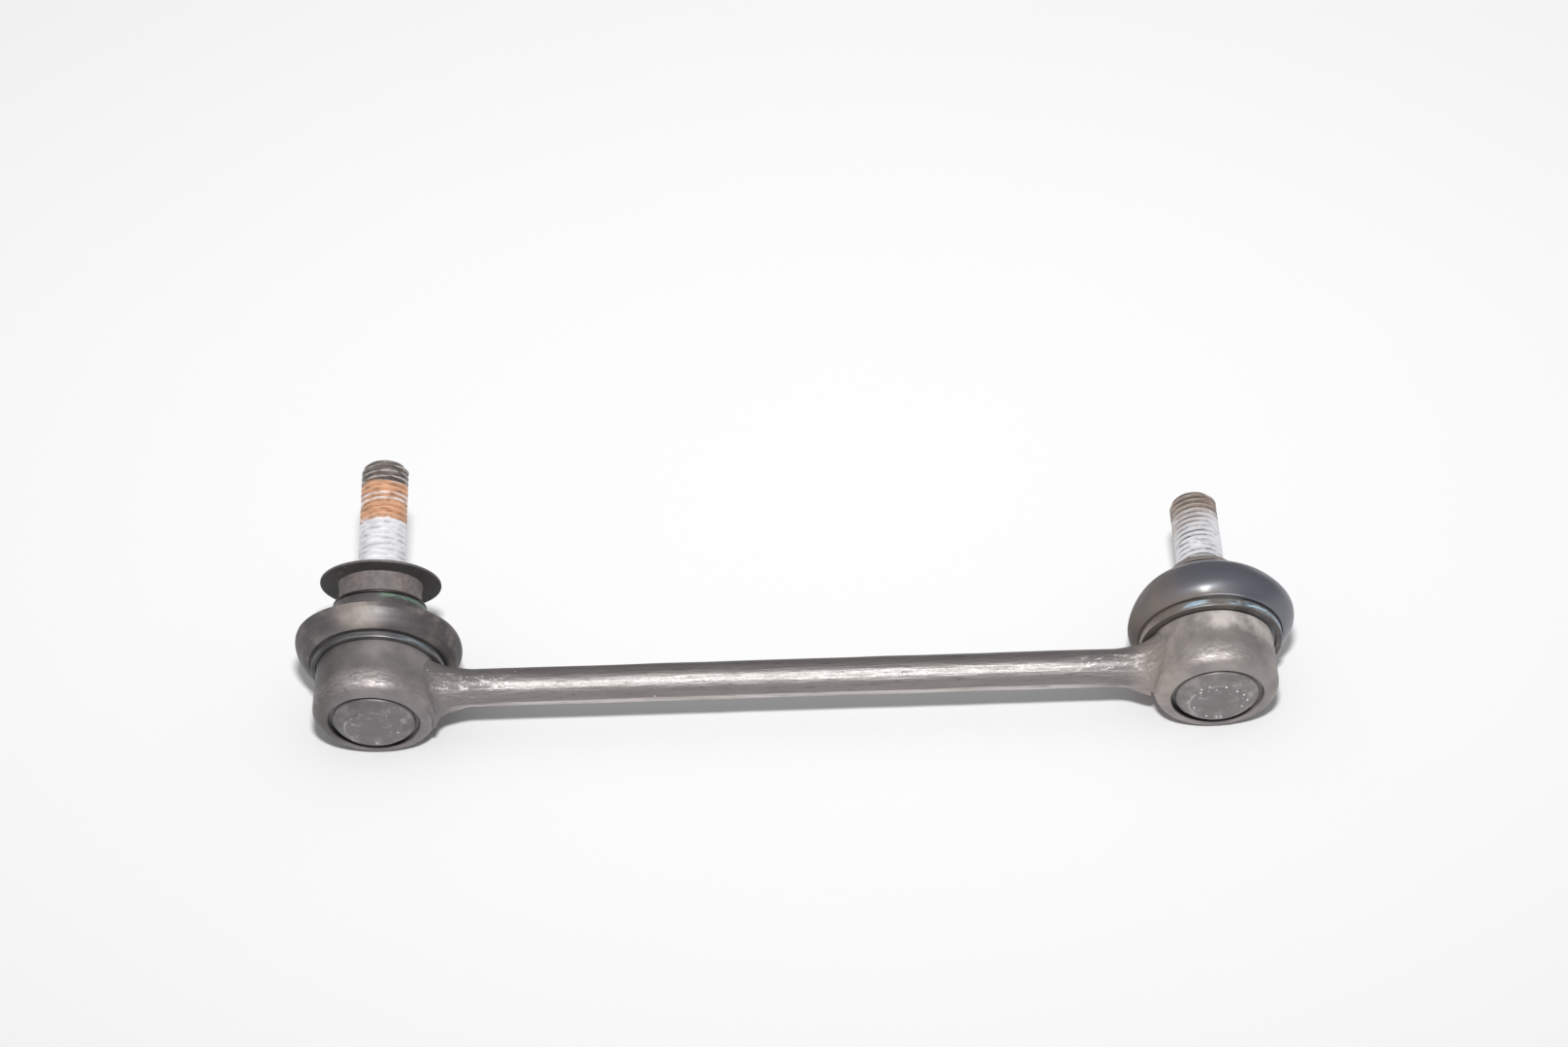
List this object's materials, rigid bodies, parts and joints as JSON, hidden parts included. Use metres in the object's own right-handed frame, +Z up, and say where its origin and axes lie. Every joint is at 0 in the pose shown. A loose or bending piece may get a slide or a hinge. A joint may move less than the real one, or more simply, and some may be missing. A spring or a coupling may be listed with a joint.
{
  "type": "stabilizer link",
  "caption": "Straight stabilizer link with a booted ball joint and a threaded stud at each end, for joining an anti-roll bar to a suspension strut.",
  "frame": {"origin": "middle of the link's box on the surface that it lies on", "axes": "+X along the rod from the flanged stud's end to the shouldered stud's end, +Y the way both studs point, +Z up"},
  "size_m": [0.2064, 0.0572, 0.0422],
  "materials": {
    "rod_steel": "dark worn steel with bare streaks",
    "housing_steel": "dusty grey-brown steel",
    "cap_steel": "pressed steel, dull grey",
    "seat_plastic": "off-white moulded plastic",
    "stud_steel": "zinc-plated steel, worn",
    "boot_rubber_dusty": "matte rubber with dust",
    "boot_rubber": "smooth dark rubber",
    "ring_steel": "dark spring steel"
  },
  "bodies": {
    "link": {"connecting_rod": "rod_steel", "left_housing": "rod_steel", "right_housing": "housing_steel", "left_end_cap": "cap_steel", "right_end_cap": "cap_steel", "left_ball_seat": "seat_plastic", "right_ball_seat": "seat_plastic", "left_lower_boot_ring": "ring_steel", "right_lower_boot_ring": "ring_steel"},
    "left_boot": {"left_dust_boot": "boot_rubber_dusty"},
    "left_collar": {"left_upper_boot_ring": "ring_steel"},
    "left_stud": {"left_ball_stud": "stud_steel"},
    "right_boot": {"right_dust_boot": "boot_rubber"},
    "right_collar": {"right_upper_boot_ring": "ring_steel"},
    "right_stud": {"right_ball_stud": "stud_steel"}
  },
  "joints": [
    {"name": "left_swing_direction", "type": "hinge", "parent": "link", "child": "left_boot", "pos_m": [-0.086, -0.0179, 0.01363], "axis": [0, 0.9563, 0.2924], "continuous": true},
    {"name": "left_swing", "type": "hinge", "parent": "left_boot", "child": "left_collar", "pos_m": [-0.086, -0.0179, 0.01363], "axis": [1, 0, 0], "range_deg": [-34, 10], "deforming": ["left_dust_boot"]},
    {"name": "left_stud_spin", "type": "hinge", "parent": "left_collar", "child": "left_stud", "pos_m": [-0.086, -0.0179, 0.01363], "axis": [0, 0.8746, 0.4848], "continuous": true},
    {"name": "right_swing_direction", "type": "hinge", "parent": "link", "child": "right_boot", "pos_m": [0.086, -0.0179, 0.01363], "axis": [0, 0.9563, 0.2924], "continuous": true},
    {"name": "right_swing", "type": "hinge", "parent": "right_boot", "child": "right_collar", "pos_m": [0.086, -0.0179, 0.01363], "axis": [1, 0, 0], "range_deg": [-20, 24], "deforming": ["right_dust_boot"]},
    {"name": "right_stud_spin", "type": "hinge", "parent": "right_collar", "child": "right_stud", "pos_m": [0.086, -0.0179, 0.01363], "axis": [0, 0.9659, 0.2588], "continuous": true}
  ]
}
